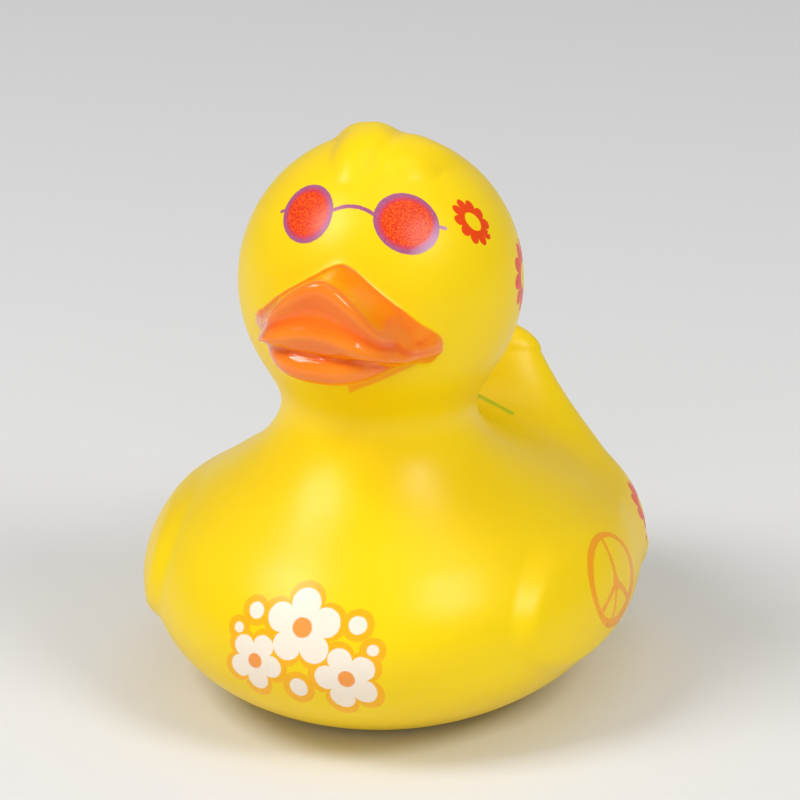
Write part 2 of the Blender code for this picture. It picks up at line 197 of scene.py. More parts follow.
# Camera, as the photograph has it
CAMERA_AZIMUTH = math.radians(19.0)
CAMERA_ELEVATION = math.radians(22.0)
CAMERA_DISTANCE = 0.7488
CAMERA_TARGET = Vector((0.0, -0.005876, 0.03432))
CAMERA_LENS = 238.1
CAMERA_SHIFT_X = 0.0276
CAMERA_SHIFT_Y = 0.0797


def smooth_min(a, b, reach):
    """The lower of two fields, rounded where they are closer than 1.5 x reach."""
    near = np.maximum(1.5 * reach - np.abs(a - b), 0) / (1.5 * reach)
    return np.minimum(a, b) - near ** 3 * reach / 4


def smooth_max(a, b, reach):
    """The higher of two fields, rounded in the same way."""
    return -smooth_min(-a, -b, reach)


def smooth_step(t):
    """0 below 0, 1 above 1, and a soft S between."""
    t = np.clip(t, 0, 1)
    return t * t * (3 - 2 * t)


def ellipsoid(p, centre, radii):
    """Near distance to an ellipsoid, negative inside."""
    q = p - centre
    scaled = np.sqrt(((q / radii) ** 2).sum(-1))
    slope = np.sqrt(((q / radii ** 2) ** 2).sum(-1))
    return scaled * (scaled - 1) / np.maximum(slope, 1e-6)


def rounded_cone(p, start, end, start_radius, end_radius, spread=1.0):
    """Distance to a cone with round ends, widened sideways by spread."""
    q = p * np.array([1 / spread, 1, 1])
    run = end - start
    along = np.clip(((q - start) @ run) / (run @ run), 0, 1)
    nearest = start + along[..., None] * run
    radius = start_radius + (end_radius - start_radius) * along
    return np.sqrt(((q - nearest) ** 2).sum(-1)) - radius


def wing_lift(p):
    """How far each flank stands out where its wing is."""
    x, y, z = np.moveaxis(p - BODY_CENTRE, -1, 0)
    height = z + BODY_CENTRE[2]
    girth = WING_GIRTH_RADIUS * np.arctan2(np.abs(x), -y)
    above = np.maximum(height - WING_FRONT_HEIGHT, 0)
    below = np.maximum(WING_FRONT_HEIGHT - height, 0)
    front = WING_FRONT + WING_FRONT_CURVE_UP * above ** 2 + WING_FRONT_CURVE_DOWN * below ** 2
    top = WING_TOP - WING_TOP_FALL * np.maximum(girth - WING_BREAK, 0)
    bottom = WING_BOTTOM + WING_BOTTOM_CURVE * np.maximum(girth - WING_BOTTOM_START, 0) ** 2
    ahead = smooth_min(0.8 * (girth - front), top - height, WING_CORNER)
    behind = smooth_min(height - bottom, 0.7 * (WING_REAR - girth), WING_CORNER)
    return WING_LIFT * smooth_step(smooth_min(ahead, behind, WING_CORNER) / WING_EDGE)


def body(p):
    """The egg and its two wings."""
    return ellipsoid(p, BODY_CENTRE, BODY_RADII) - wing_lift(p)


def neck(p):
    """The neck, a round-ended cone inside the head and the body."""
    return rounded_cone(p, NECK_TOP, NECK_FOOT, NECK_TOP_RADIUS, NECK_FOOT_RADIUS)


def tail(p):
    """The broad upturned tail."""
    return rounded_cone(p, TAIL_ROOT, TAIL_TIP, TAIL_ROOT_RADIUS, TAIL_TIP_RADIUS, TAIL_SPREAD)


def lock_lift(p, lift, x, front, widest, half_width, sweep, back):
    """How far one lock stands out: blunt in front, swept aside and fading behind."""
    sideways, y, z = np.moveaxis(p - HEAD_CENTRE, -1, 0)
    behind = np.maximum(widest + y, 0)
    across = (sideways - x + sweep * behind) / (half_width + 0.12 * behind)
    ahead = np.maximum(-y - widest, 0) / (front - widest)
    inside = np.clip((1 - np.hypot(ahead, across)) * half_width / LOCK_EDGE, 0, 1)
    fade = smooth_step((-y - back) / LOCK_FADE) * smooth_step(2 * z / HEAD_RADII[2])
    return lift * inside * (2 - inside) * fade


def head(p):
    """The head and its tuft."""
    main_lock = lock_lift(p, MAIN_LOCK_LIFT, MAIN_LOCK_X, MAIN_LOCK_FRONT, MAIN_LOCK_WIDEST,
                          MAIN_LOCK_HALF_WIDTH, MAIN_LOCK_SWEEP, MAIN_LOCK_BACK)
    side_lock = lock_lift(p, SIDE_LOCK_LIFT, SIDE_LOCK_X, SIDE_LOCK_FRONT, SIDE_LOCK_WIDEST,
                          SIDE_LOCK_HALF_WIDTH, SIDE_LOCK_SWEEP, SIDE_LOCK_BACK)
    return ellipsoid(p, HEAD_CENTRE, HEAD_RADII) - smooth_max(main_lock, side_lock, LOCK_CREASE)


def bill_frame(p):
    """Sideways, forward and up from the middle of the head, tilted as the bill is."""
    x, y, z = np.moveaxis(p - HEAD_CENTRE, -1, 0)
    c, s = math.cos(BILL_TILT), math.sin(BILL_TILT)
    return c * x - s * z - BILL_SHIFT, -y, s * x + c * z


def plan_shares(x, forward, side, reach):
    """How far out and how far forward a point is, 1 being the plan outline."""
    flare = CORNER_FLARE * smooth_step((FLARE_START - forward) / FLARE_LENGTH)
    return np.abs(x) / (side + flare), np.maximum(forward - BILL_BACK, 0) / reach


def outside_plan(x, forward, side, reach, squareness):
    """Distance outside a rounded plan outline, seen from above."""
    u, v = plan_shares(x, forward, side, reach)
    g = np.maximum((u ** squareness + v ** squareness) ** (1 / squareness), 1e-6)
    power = squareness - 1
    slope = np.hypot(u ** power / side, v ** power / reach) / g ** power
    return (g - 1) / np.maximum(slope, 1.0)


def along_plan(x, forward):
    """How far from the bill's root line to its rim a point is, from 0 to 1."""
    u, v = plan_shares(x, forward, BILL_SIDE, BILL_REACH)
    rim = np.maximum(1 - u ** BILL_SQUARENESS, 0.03) ** (1 / BILL_SQUARENESS)
    return np.clip(v / rim, 0, 1.1)


def lip_line(x):
    """Height of the upper bill's lower edge."""
    return smooth_max(LIP_HEIGHT - LIP_CURVE * x ** 2, LIP_CORNER_HEIGHT, LIP_CORNER_ROUNDING)


def mouth_line(x):
    """Height of the crease between the two halves of the bill."""
    return smooth_min(MOUTH_HEIGHT + MOUTH_CURVE * x ** 2, lip_line(x) - GAP, 0.0010)


def upper_bill(x, forward, z):
    """The upper half: a saddle behind an upturned rim, with a hollowed front face."""
    peak = np.sqrt(x ** 2 + PEAK_ROUNDING ** 2) - PEAK_ROUNDING
    crest = RIM_HEIGHT - RIM_SLOPE * peak - RIM_CURVE * x ** 2
    crest = smooth_max(crest, RIM_CORNER_HEIGHT, RIM_CORNER_ROUNDING)
    root = ROOT_HEIGHT - ROOT_SLOPE * peak
    out = outside_plan(x, forward, BILL_SIDE, BILL_REACH, BILL_SQUARENESS)
    along = along_plan(x, forward)
    dip = SADDLE_DEPTH * np.sin(math.pi * np.clip(along, 0, 1) ** 2)
    top = root + (crest - root) * smooth_step((along - 0.3) / 0.65) - dip
    lip = lip_line(x)
    up_face = np.clip((z - lip) / np.maximum(crest - lip, 0.0012), 0, 1)
    trough = TROUGH_DEPTH * np.sin(math.pi * np.clip(up_face / 0.8, 0, 1)) ** 2
    under = np.maximum(lip - z, 0)
    tuck = 0.2 * under ** 2 / (under + 0.0015)
    lip_roll = LIP_FULLNESS * np.exp(-((z - lip) / LIP_ROUNDING) ** 2)
    lean = LIP_SETBACK * (1 - up_face) + RIM_LEAN * up_face ** 2
    face = out + lean + trough + tuck - lip_roll
    skin = smooth_max(0.8 * (z - top), 0.9 * face, RIM_ROUNDING)
    return smooth_max(skin, 0.9 * (mouth_line(x) - z), LIP_EDGE)


def lower_bill(x, forward, z):
    """The lower half: a full round-edged cushion under the mouth."""
    out = outside_plan(x, forward, LOWER_SIDE, LOWER_REACH, LOWER_SQUARENESS)
    radius = np.maximum(0.5 * LOWER_THICKNESS - 0.5 * LOWER_TAPER * x ** 2, 0.0006)
    height = z - LOWER_MIDDLE - LOWER_MIDDLE_CURVE * x ** 2
    return np.hypot(np.maximum(out + radius, 0), height) - radius


def gum(x, forward, z):
    """What fills the mouth behind the lips, so that it is a shallow crease."""
    out = outside_plan(x, forward, BILL_SIDE - GUM_INSET, BILL_REACH - GUM_SETBACK, BILL_SQUARENESS)
    return smooth_max(out, np.abs(z - mouth_line(x)) - GUM_HEIGHT, GUM_HEIGHT)


def cheeks(x, forward, z):
    """The round corners of the mouth, where both halves meet the head."""
    q = np.stack([np.abs(x), -forward, z], -1)
    return rounded_cone(q, CHEEK_FRONT, CHEEK_BACK, CHEEK_FRONT_RADIUS, CHEEK_BACK_RADIUS)


def bill(p):
    """The whole bill, from its root inside the head to the rim."""
    x, forward, z = bill_frame(p)
    both = smooth_min(upper_bill(x, forward, z), lower_bill(x, forward, z), MOUTH_CREASE)
    both = smooth_min(both, gum(x, forward, z), MOUTH_CREASE)
    both = smooth_max(both, 0.5 * BILL_BACK - forward, MOUTH_CREASE)
    return smooth_min(both, cheeks(x, forward, z), CHEEK_BLEND)


def bare_of(p):
    """All the lumps but the bill, blended as the mould has them."""
    duck = smooth_min(head(p), neck(p), HEAD_TO_NECK_BLEND)
    duck = smooth_min(duck, body(p), NECK_TO_BODY_BLEND)
    return smooth_min(duck, tail(p), TAIL_BLEND)


def skin_of(p):
    """The outer skin."""
    duck = smooth_min(bare_of(p), bill(p), BILL_BLEND)
    return smooth_max(duck, -BASE_SINK - p[..., 2], BASE_EDGE)


def cavity_of(p):
    """The inside of the shell, one wall in from the skin, over a thicker floor."""
    floor = SEAT_DEPTH + WALL - p[..., 2]
    return smooth_max(skin_of(p) + WALL, floor, BASE_EDGE)


LUMPS = (
    (BODY_CENTRE, body),
    (0.5 * (NECK_TOP + NECK_FOOT), neck),
    (HEAD_CENTRE, head),
    (0.45 * TAIL_ROOT + 0.55 * TAIL_TIP, tail),
    (HEAD_CENTRE + np.array([0.0, -(BILL_BACK + 0.3 * BILL_REACH), 0.0]), bill),
)


def link(data, name):
    """A new object for a mesh, a lamp or a camera."""
    thing = bpy.data.objects.new(name, data)
    bpy.context.scene.collection.objects.link(thing)
    return thing


def link_shape(shape, name):
    """A new object for a bmesh, which ends here."""
    mesh = bpy.data.meshes.new(name)
    shape.to_mesh(mesh)
    shape.free()
    return link(mesh, name)


def look_from(thing, azimuth, elevation, distance, target):
    """Put a lamp or the camera on its side of a target, and aim it there."""
    flat = math.cos(elevation)
    back = Vector((math.sin(azimuth) * flat, -math.cos(azimuth) * flat, math.sin(elevation)))
    thing.location = target + back * distance
    thing.rotation_euler = back.to_track_quat("Z", "Y").to_euler()


def points_of(mesh):
    """A mesh's points as rows of x, y and z."""
    points = np.empty(3 * len(mesh.vertices))
    mesh.vertices.foreach_get("co", points)
    return points.reshape(-1, 3)


def put_points(mesh, points):
    """Write the points back."""
    mesh.vertices.foreach_set("co", points.ravel())
    mesh.update()


def evaluated_copy(thing, name):
    """The mesh of an object with its modifiers applied."""
    graph = bpy.context.evaluated_depsgraph_get()
    mesh = bpy.data.meshes.new_from_object(thing.evaluated_get(graph))
    mesh.name = name
    return mesh


def delete(thing):
    """Remove an object that has done its work."""
    bpy.data.objects.remove(thing, do_unlink=True)


def blown_sphere(centre, field):
    """A sphere whose points are sent out along their rays to a field's surface."""
    shape = bmesh.new()
    bmesh.ops.create_icosphere(shape, subdivisions=SPHERE_DETAIL, radius=1.0)
    mesh = bpy.data.meshes.new("lump")
    shape.to_mesh(mesh)
    shape.free()
    ray = points_of(mesh)
    near = np.zeros(len(ray))
    far = np.full(len(ray), LARGEST_RADIUS)
    for _ in range(HALVINGS):
        middle = 0.5 * (near + far)
        inside = field(centre + ray * middle[:, None]) < 0
        near = np.where(inside, middle, near)
        far = np.where(inside, far, middle)
    put_points(mesh, centre + ray * near[:, None])
    return mesh


def fused(name, shrink, voxel):
    """All the lumps as one closed mesh of even faces."""
    shape = bmesh.new()
    for centre, field in LUMPS:
        shape.from_mesh(blown_sphere(centre, lambda p, f=field: f(p) + shrink))
    whole = link_shape(shape, name)
    remesh = whole.modifiers.new("fuse", "REMESH")
    remesh.mode = "VOXEL"
    remesh.voxel_size = voxel
    remesh.adaptivity = 0.0
    thing = link(evaluated_copy(whole, name), name)
    delete(whole)
    return thing


def onto_surface(points, field, rounds):
    """Move points square onto a field's surface."""
    for _ in range(rounds):
        slope = np.empty_like(points)
        for axis in range(3):
            ahead = np.zeros(3)
            ahead[axis] = PROBE
            slope[:, axis] = (field(points + ahead) - field(points - ahead)) / (2 * PROBE)
        steep = np.maximum((slope ** 2).sum(-1), LEAST_SLOPE_SQUARED)
        move = -slope * (field(points) / steep)[:, None]
        length = np.maximum(np.linalg.norm(move, axis=-1), 1e-9)
        points = points + move * np.minimum(1, LONGEST_MOVE / length)[:, None]
    return points


def relaxed(points, ends):
    """Each point halfway to the middle of its neighbours."""
    total = np.zeros_like(points)
    count = np.zeros(len(points))
    for a, b in ((0, 1), (1, 0)):
        np.add.at(total, ends[:, a], points[ends[:, b]])
        np.add.at(count, ends[:, a], 1)
    return 0.5 * (points + total / count[:, None])


def settle(mesh, field, rounds=2):
    """Bring a fused mesh onto the smooth skin, with its faces kept even."""
    ends = np.empty(2 * len(mesh.edges), dtype=np.int64)
    mesh.edges.foreach_get("vertices", ends)
    ends = ends.reshape(-1, 2)
    points = onto_surface(points_of(mesh), field, 4)
    for _ in range(rounds):
        points = onto_surface(relaxed(points, ends), field, 3)
    put_points(mesh, points)


def refine_bill(mesh):
    """Halve the faces of the bill, where the forms are smallest."""
    near_bill = bill(points_of(mesh)) < BILL_MARGIN
    shape = bmesh.new()
    shape.from_mesh(mesh)
    shape.verts.ensure_lookup_table()
    edges = [edge for edge in shape.edges if all(near_bill[v.index] for v in edge.verts)]
    bmesh.ops.subdivide_edges(shape, edges=edges, cuts=1, use_grid_fill=True)
    bmesh.ops.triangulate(shape, faces=[f for f in shape.faces if len(f.verts) > 4])
    shape.to_mesh(mesh)
    shape.free()


def turned(name, profile, steps):
    """A solid turned about the seat's axis from radius and height pairs."""
    mesh = bpy.data.meshes.new(name)
    edges = [(i, i + 1) for i in range(len(profile) - 1)]
    mesh.from_pydata([(radius, 0.0, height) for radius, height in profile], edges, [])
    thing = link(mesh, name)
    thing.location = (0.0, SEAT_Y, 0.0)
    screw = thing.modifiers.new("turn", "SCREW")
    screw.steps = steps
    screw.render_steps = steps
    screw.use_merge_vertices = True
    screw.merge_threshold = 0.00001
    return thing


def seat_cutter():
    """The shallow seat and the round hole in the base."""
    below = -CUT_OVER
    above = SEAT_DEPTH + WALL + CUT_OVER
    draft = SEAT_DRAFT * (SEAT_DEPTH - below) / SEAT_DEPTH
    profile = (
        (0.0, above),
        (HOLE_RADIUS, above),
        (HOLE_RADIUS, SEAT_DEPTH),
        (SEAT_RADIUS, SEAT_DEPTH),
        (SEAT_RADIUS + draft, below),
        (0.0, below),
    )
    return turned("seat_cutter", profile, SEAT_STEPS)


def base_cutter():
    """A block under the duck, whose top is the plane of the base."""
    shape = bmesh.new()
    size = (4 * BODY_RADII[0], 4 * BODY_RADII[1], WALL)
    place = Matrix.Translation((0.0, 0.0, -0.5 * WALL)) @ Matrix.Diagonal((*size, 1.0))
    bmesh.ops.create_cube(shape, size=1.0, matrix=place)
    return link_shape(shape, "base_cutter")


def hollowness(points):
    """How hollow the bill is at each point: above 0 in its folds, below 0 on its ridges."""
    total = -6 * bill(points)
    for axis in range(3):
        shift = np.zeros(3)
        shift[axis] = FOLD_PROBE
        total = total + bill(points + shift) + bill(points - shift)
    return -FOLD_RADIUS * total / FOLD_PROBE ** 2


def store(mesh, name, values, limit):
    """Keep a number on each point of a mesh, for a material to read."""
    layer = mesh.attributes.new(name, "FLOAT", "POINT")
    layer.data.foreach_set("value", np.clip(values, -limit, limit))


def duck_skin():
    """The shell at a fine pitch, and how far its middle is moved along Y to the origin.

    The paint line and the folds of the bill are stored on its points.
    """
    skin = fused("duck_skin", 0.0, SKIN_VOXEL)
    settle(skin.data, skin_of)
    refine_bill(skin.data)
    settle(skin.data, skin_of, 1)
    cavity = fused("cavity_cutter", WALL, CAVITY_VOXEL)
    settle(cavity.data, cavity_of)
    tools = (base_cutter(), cavity, seat_cutter())
    for tool in tools:
        boolean = skin.modifiers.new(tool.name, "BOOLEAN")
        boolean.operation = "DIFFERENCE"
        boolean.solver = "EXACT"
        boolean.object = tool
    shell = link(evaluated_copy(skin, "duck_shell"), "duck_shell")
    for thing in (skin, *tools):
        delete(thing)
    points = points_of(shell.data)
    store(shell.data, "paint", (bare_of(points) - bill(points)) / MM, 5)
    store(shell.data, "fold", hollowness(points), 1)
    middle = 0.5 * (points[:, 1].min() + points[:, 1].max())
    shell.data.transform(Matrix.Translation((0.0, -middle, 0.0)))
    shell.data.shade_smooth()
    shell.data.set_sharp_from_angle(angle=SHARP_ANGLE)
    return shell, middle


class Nodes:
    """Short ways to make and join the nodes of one material."""

    def __init__(self, name):
        self.material = bpy.data.materials.new(name)
        self.material.use_nodes = True
        self.tree = self.material.node_tree
        self.shader = self.tree.nodes["Principled BSDF"]

    def feed(self, socket, value):
        """Join a socket to a socket, or set it to a constant."""
        if isinstance(value, bpy.types.NodeSocket):
            self.tree.links.new(value, socket)
        else:
            socket.default_value = value

    def set(self, name, value):
        """Set or join one input of the shader."""
        self.feed(self.shader.inputs[name], value)

    def maths(self, operation, *values):
        """One math node."""
        node = self.tree.nodes.new("ShaderNodeMath")
        node.operation = operation
        for socket, value in zip(node.inputs, values):
            self.feed(socket, value)
        return node.outputs[0]

    def times(self, a, b):
        """The product of two values."""
        return self.maths("MULTIPLY", a, b)

    def hypot(self, a, b):
        """The length of two sides at a right angle."""
        return self.maths("SQRT", self.add(self.times(a, a), self.times(b, b)))

    def vector(self, operation, *values):
        """One vector math node."""
        node = self.tree.nodes.new("ShaderNodeVectorMath")
        node.operation = operation
        for socket, value in zip(node.inputs, values):
            self.feed(socket, value)
        scalar = operation in ("DOT_PRODUCT", "LENGTH", "DISTANCE")
        return node.outputs["Value" if scalar else "Vector"]

    def ramp(self, value, low, high, start=0.0, end=1.0):
        """Map low to start and high to end, held beyond both."""
        node = self.tree.nodes.new("ShaderNodeMapRange")
        node.clamp = True
        limits = {"From Min": low, "From Max": high, "To Min": start, "To Max": end}
        for name, number in limits.items():
            node.inputs[name].default_value = number
        self.feed(node.inputs["Value"], value)
        return node.outputs["Result"]

    def noise(self, place, scale, detail=2.0, roughness=0.5):
        """Noise from 0 to 1, with scale in waves per metre."""
        node = self.tree.nodes.new("ShaderNodeTexNoise")
        self.feed(node.inputs["Vector"], place)
        node.inputs["Scale"].default_value = scale
        node.inputs["Detail"].default_value = detail
        node.inputs["Roughness"].default_value = roughness
        return node.outputs["Fac"]

    def mix(self, factor, a, b):
        """Blend two colours."""
        node = self.tree.nodes.new("ShaderNodeMix")
        node.data_type = "RGBA"
        self.feed(node.inputs[0], factor)
        self.feed(node.inputs[6], a)
        self.feed(node.inputs[7], b)
        return node.outputs[2]

    def add(self, *values):
        """The sum of any number of values."""
        total = values[0]
        for value in values[1:]:
            total = self.maths("ADD", total, value)
        return total

    def lowest(self, *values):
        """The lowest of any number of values."""
        low = values[0]
        for value in values[1:]:
            low = self.maths("MINIMUM", low, value)
        return low

    def highest(self, *values):
        """The highest of any number of values."""
        high = values[0]
        for value in values[1:]:
            high = self.maths("MAXIMUM", high, value)
        return high

    def tone(self, value, low, high, pair):
        """Between two screen colours, as a value goes from low to high."""
        return self.mix(self.ramp(value, low, high), colour(*pair[0]), colour(*pair[1]))

    def print_on(self, skin, mask, cover, ink):
        """Lay one screen colour over the skin where the mask is."""
        return self.mix(self.times(mask, cover), skin, colour(*ink))

    def attribute(self, name):
        """A number stored on the mesh's points."""
        node = self.tree.nodes.new("ShaderNodeAttribute")
        node.attribute_name = name
        return node.outputs["Fac"]

    def object_place(self):
        """Where a point of the surface is, in metres."""
        return self.tree.nodes.new("ShaderNodeTexCoord").outputs["Object"]

    def bump(self, height, strength, distance):
        """Raise the surface by a height."""
        node = self.tree.nodes.new("ShaderNodeBump")
        node.inputs["Strength"].default_value = strength
        node.inputs["Distance"].default_value = distance
        self.feed(node.inputs["Height"], height)
        self.set("Normal", node.outputs["Normal"])


class Patch:
    """A flat millimetre grid laid against the skin, for one print."""

    def __init__(self, nodes, place, centre, right, up):
        self.nodes = nodes
        self.right = Vector(right).normalized()
        self.up = (Vector(up) - self.right * self.right.dot(Vector(up))).normalized()
        centre = Vector(centre)
        self.u = self.along(place, self.right, centre)
        self.v = self.along(place, self.up, centre)
        self.depth = self.along(place, self.right.cross(self.up), centre)

    def along(self, place, axis, centre):
        """Millimetres from the centre along one axis."""
        dot = self.nodes.vector("DOT_PRODUCT", place, tuple(axis / MM))
        return self.nodes.maths("SUBTRACT", dot, axis.dot(centre))

    def turned(self, u, v, angle):
        """Both coordinates from a new middle, along axes turned by an angle."""
        n = self.nodes
        c, s = math.cos(math.radians(angle)), math.sin(math.radians(angle))
        across = n.add(n.times(self.u, c), n.times(self.v, s), -u * c - v * s)
        along = n.add(n.times(self.u, -s), n.times(self.v, c), u * s - v * c)
        return across, along

    def scaled(self, u, v, long, short, angle):
        """The same, in half axes of an ellipse whose long axis lies at the angle."""
        n = self.nodes
        across, along = self.turned(u, v, angle)
        return n.maths("DIVIDE", across, long), n.maths("DIVIDE", along, short)

    def ellipse(self, u, v, long, short, angle):
        """Near distance outside an ellipse whose long axis lies at an angle."""
        n = self.nodes
        radius = n.hypot(*self.scaled(u, v, long, short, angle))
        return n.times(n.maths("SUBTRACT", radius, 1.0), 0.5 * (long + short))

    def stroke(self, start, end, width):
        """Distance outside a straight stroke with round ends."""
        n = self.nodes
        du, dv = end[0] - start[0], end[1] - start[1]
        length = math.hypot(du, dv)
        across, along = self.turned(start[0], start[1], math.degrees(math.atan2(dv, du)))
        nearest = n.lowest(n.highest(across, 0.0), length)
        over = n.maths("SUBTRACT", across, nearest)
        return n.maths("SUBTRACT", n.hypot(over, along), 0.5 * width)

    def blossom(self, u, v, long, short, angle, petals, phase, depth):
        """Near distance outside a blossom with round petals."""
        n = self.nodes
        across, along = self.scaled(u, v, long, short, angle)
        around = n.maths("ARCTAN2", along, across)
        half = n.maths("MULTIPLY_ADD", around, 0.5 * petals, -0.5 * petals * math.radians(phase))
        wave = n.maths("POWER", n.maths("ABSOLUTE", n.maths("COSINE", half)), 0.6)
        edge = n.maths("MULTIPLY_ADD", wave, depth, 1.0 - depth)
        radius = n.hypot(across, along)
        return n.times(n.maths("SUBTRACT", radius, edge), 0.5 * (long + short))

    def near(self, distance, soft=0.06, reach=5.0):
        """1 inside a shape and 0 outside it, on this side of the duck only."""
        n = self.nodes
        inside = n.ramp(distance, soft, -soft)
        return n.times(inside, n.maths("GREATER_THAN", self.depth, -reach))


def colour(r, g, b):
    """A shader colour from screen values of 0 to 255."""
    def linear(value):
        value = value / 255
        return value / 12.92 if value < 0.04045 else ((value + 0.055) / 1.055) ** 2.4
    return (linear(r), linear(g), linear(b), 1.0)


def glasses(n, place, skin, grain, edge):
    """Round spectacles: grainy red lenses in two-tone frames."""
    left = Patch(
        n, place, (-5.60, -18.75, 75.32), (0.9260, -0.3776, 0.0), (0.2446, 0.5999, 0.7617))
    right = Patch(
        n, place, (8.13, -17.63, 75.10), (0.8411, 0.5409, 0.0), (-0.3443, 0.5354, 0.7713))
    middle = Patch(
        n, place, (0.80, -18.40, 76.82), (0.9982, 0.0597, 0.0), (-0.0432, 0.7212, 0.6913))

    # The bridge is an arch of one width
    half_width, half_span, bend, crown = 0.31, 3.0, 0.092, 0.22
    sag = n.times(n.times(middle.u, middle.u), bend)
    off = n.maths("ABSOLUTE", n.add(middle.v, sag, -crown))
    beyond = n.maths("SUBTRACT", n.maths("ABSOLUTE", middle.u), half_span)
    bridge = n.highest(n.maths("SUBTRACT", off, half_width), beyond)
    frame_mask = middle.near(n.add(bridge, edge))

    # Each side: outer ellipse, lens ellipse, and the ends of the stub of its temple
    stub_width, inner_band = 0.52, 0.45
    lens_mask, inner_mask = 0.0, 0.0
    for patch, outer, inner, stub in (
        (left, (-0.42, 0.16, 4.59, 4.00, 131.0), (-0.42, 0.12, 3.43, 3.03, 130.0),
         ((-4.2, -0.25), (-5.10, -0.55))),
        (right, (0.13, 0.19, 4.74, 4.37, 137.0), (0.14, 0.20, 3.54, 3.35, 159.0),
         ((4.3, -0.55), (5.50, -0.84))),
    ):
        rim = n.lowest(patch.ellipse(*outer), patch.stroke(*stub, stub_width))
        lens = patch.ellipse(*inner)
        frame_mask = n.highest(frame_mask, patch.near(n.add(rim, edge)))
        inner_mask = n.highest(inner_mask, patch.near(n.add(lens, -inner_band), 0.18))
        lens_mask = n.highest(lens_mask, patch.near(n.add(lens, edge)))
    mauve = n.tone(grain, 0.3, 0.75, MAUVE)
    magenta = n.tone(grain, 0.3, 0.7, MAGENTA)
    frame_colour = n.mix(inner_mask, mauve, magenta)

    # Painted sheen: the right frame is paler at its lower right
    painted_sheen = n.ramp(n.maths("SUBTRACT", right.u, right.v), 3.6, 6.4, 0.0, 0.75)
    frame_colour = n.print_on(frame_colour, painted_sheen, right.near(-1.0), PAINTED_SHEEN_LAVENDER)
    lens_colour = n.tone(grain, 0.40, 0.64, LENS_RED)
    skin = n.mix(n.times(frame_mask, 0.94), skin, frame_colour)
    skin = n.mix(n.times(lens_mask, 0.97), skin, lens_colour)
    return skin, n.highest(frame_mask, lens_mask)


def daisies(n, place, skin, edge):
    """Red daisies with open hearts: two on the cheek and one on the rear flank."""
    small = Patch(
        n, place, (15.23, -10.18, 73.78), (0.3354, 0.9421, 0.0), (-0.5359, 0.1908, 0.8224))
    large = Patch(
        n, place, (19.80, -3.72, 63.73), (-0.0431, 0.9991, 0.0), (-0.0902, -0.0039, 0.9959))
    rear = Patch(
        n, place, (31.47, 20.5, 20.2), (-0.2325, 0.9726, 0.0), (-0.3739, -0.0894, 0.9231))
    nick = small.stroke((2.0, -2.3), (2.7, -2.0), 0.30)
    mask = 0.0
    for patch, petals, heart, *gaps in (
        (small, (0.0, 0.0, 3.75, 2.85, 110.0, 10, -17.0, 0.30),
         (0.05, -0.01, 1.53, 1.13, 119.0), nick),
        (large, (3.6, -0.6, 5.1, 5.1, 0.0, 10, 104.0, 0.34), (3.6, -0.6, 2.0, 2.0, 0.0)),
        (rear, (3.4, 0.0, 5.0, 4.6, 0.0, 10, 98.0, 0.34), (3.4, 0.0, 1.9, 1.8, 0.0)),
    ):
        shape = patch.blossom(*petals)
        for gap in (patch.ellipse(*heart), *gaps):
            shape = n.highest(shape, n.times(gap, -1.0))
        mask = n.highest(mask, patch.near(n.add(shape, edge)))
    return n.print_on(skin, mask, 0.97, DAISY_RED), mask


def peace_sign(n, place, skin, edge):
    """A hand-drawn peace sign on the wing."""
    wing = Patch(n, place, (33.96, -4.17, 21.09), (0.1048, 0.9945, 0.0), (-0.3410, 0.0359, 0.9394))
    outer = wing.ellipse(1.73, -0.98, 7.76, 6.77, 172.0)
    inner = wing.ellipse(1.58, -0.69, 6.49, 5.40, 15.0)
    shape = n.lowest(
        n.highest(outer, n.times(inner, -1.0)),
        wing.stroke((2.65, 5.2), (2.3, 2.4), 0.75),
        wing.stroke((2.3, 2.4), (1.6, -1.2), 0.85),
        wing.stroke((1.5, -1.4), (-3.9, -3.7), 0.80),
        wing.stroke((1.3, -1.6), (-0.5, -5.8), 0.75),
        wing.stroke((1.8, -1.6), (5.2, -4.9), 0.95),
        wing.ellipse(1.45, -1.5, 1.25, 0.95, 80.0),
    )
    mask = wing.near(n.add(shape, edge), 0.08)
    return n.print_on(skin, mask, 0.86, PEACE_ORANGE), mask


def chest_blossoms(n, place, skin, edge):
    """A spray of cream blossoms in a golden outline on the chest."""
    chest = Patch(n, place, (0.12, -37.81, 19.86), (1.0, 0.0041, 0.0), (-0.0013, 0.3057, 0.9521))
    reach = 9.0
    flowers = (
        (-0.4, 2.2, 5.4, 90.0),
        (-7.2, -3.4, 4.1, 60.0),
        (6.2, -4.2, 4.4, 110.0),
    )
    dots = (
        (-7.6, 3.6, 1.15),
        (7.2, 3.4, 1.25),
        (-0.7, -6.3, 1.3),
        (9.6, 0.2, 0.8),
        (-10.0, 0.9, 0.75),
    )
    petals = [chest.blossom(u, v, r, r, 0.0, 5, phase, 0.42) for u, v, r, phase in flowers]
    spots = [chest.ellipse(u, v, r, r, 0.0) for u, v, r in dots]
    hearts = [chest.ellipse(u, v, 0.26 * r, 0.26 * r, 0.0) for u, v, r, _ in flowers]
    shape = n.lowest(*petals, *spots)
    outline = chest.near(n.add(shape, edge, -1.0), 0.1, reach)
    cream = chest.near(n.add(shape, edge), 0.08, reach)
    middles = chest.near(n.add(n.lowest(*hearts), edge), 0.08, reach)
    skin = n.print_on(skin, outline, 0.92, GOLD)
    skin = n.print_on(skin, cream, 0.97, CREAM)
    skin = n.print_on(skin, middles, 0.92, HEART_ORANGE)
    return skin, n.highest(outline, cream)


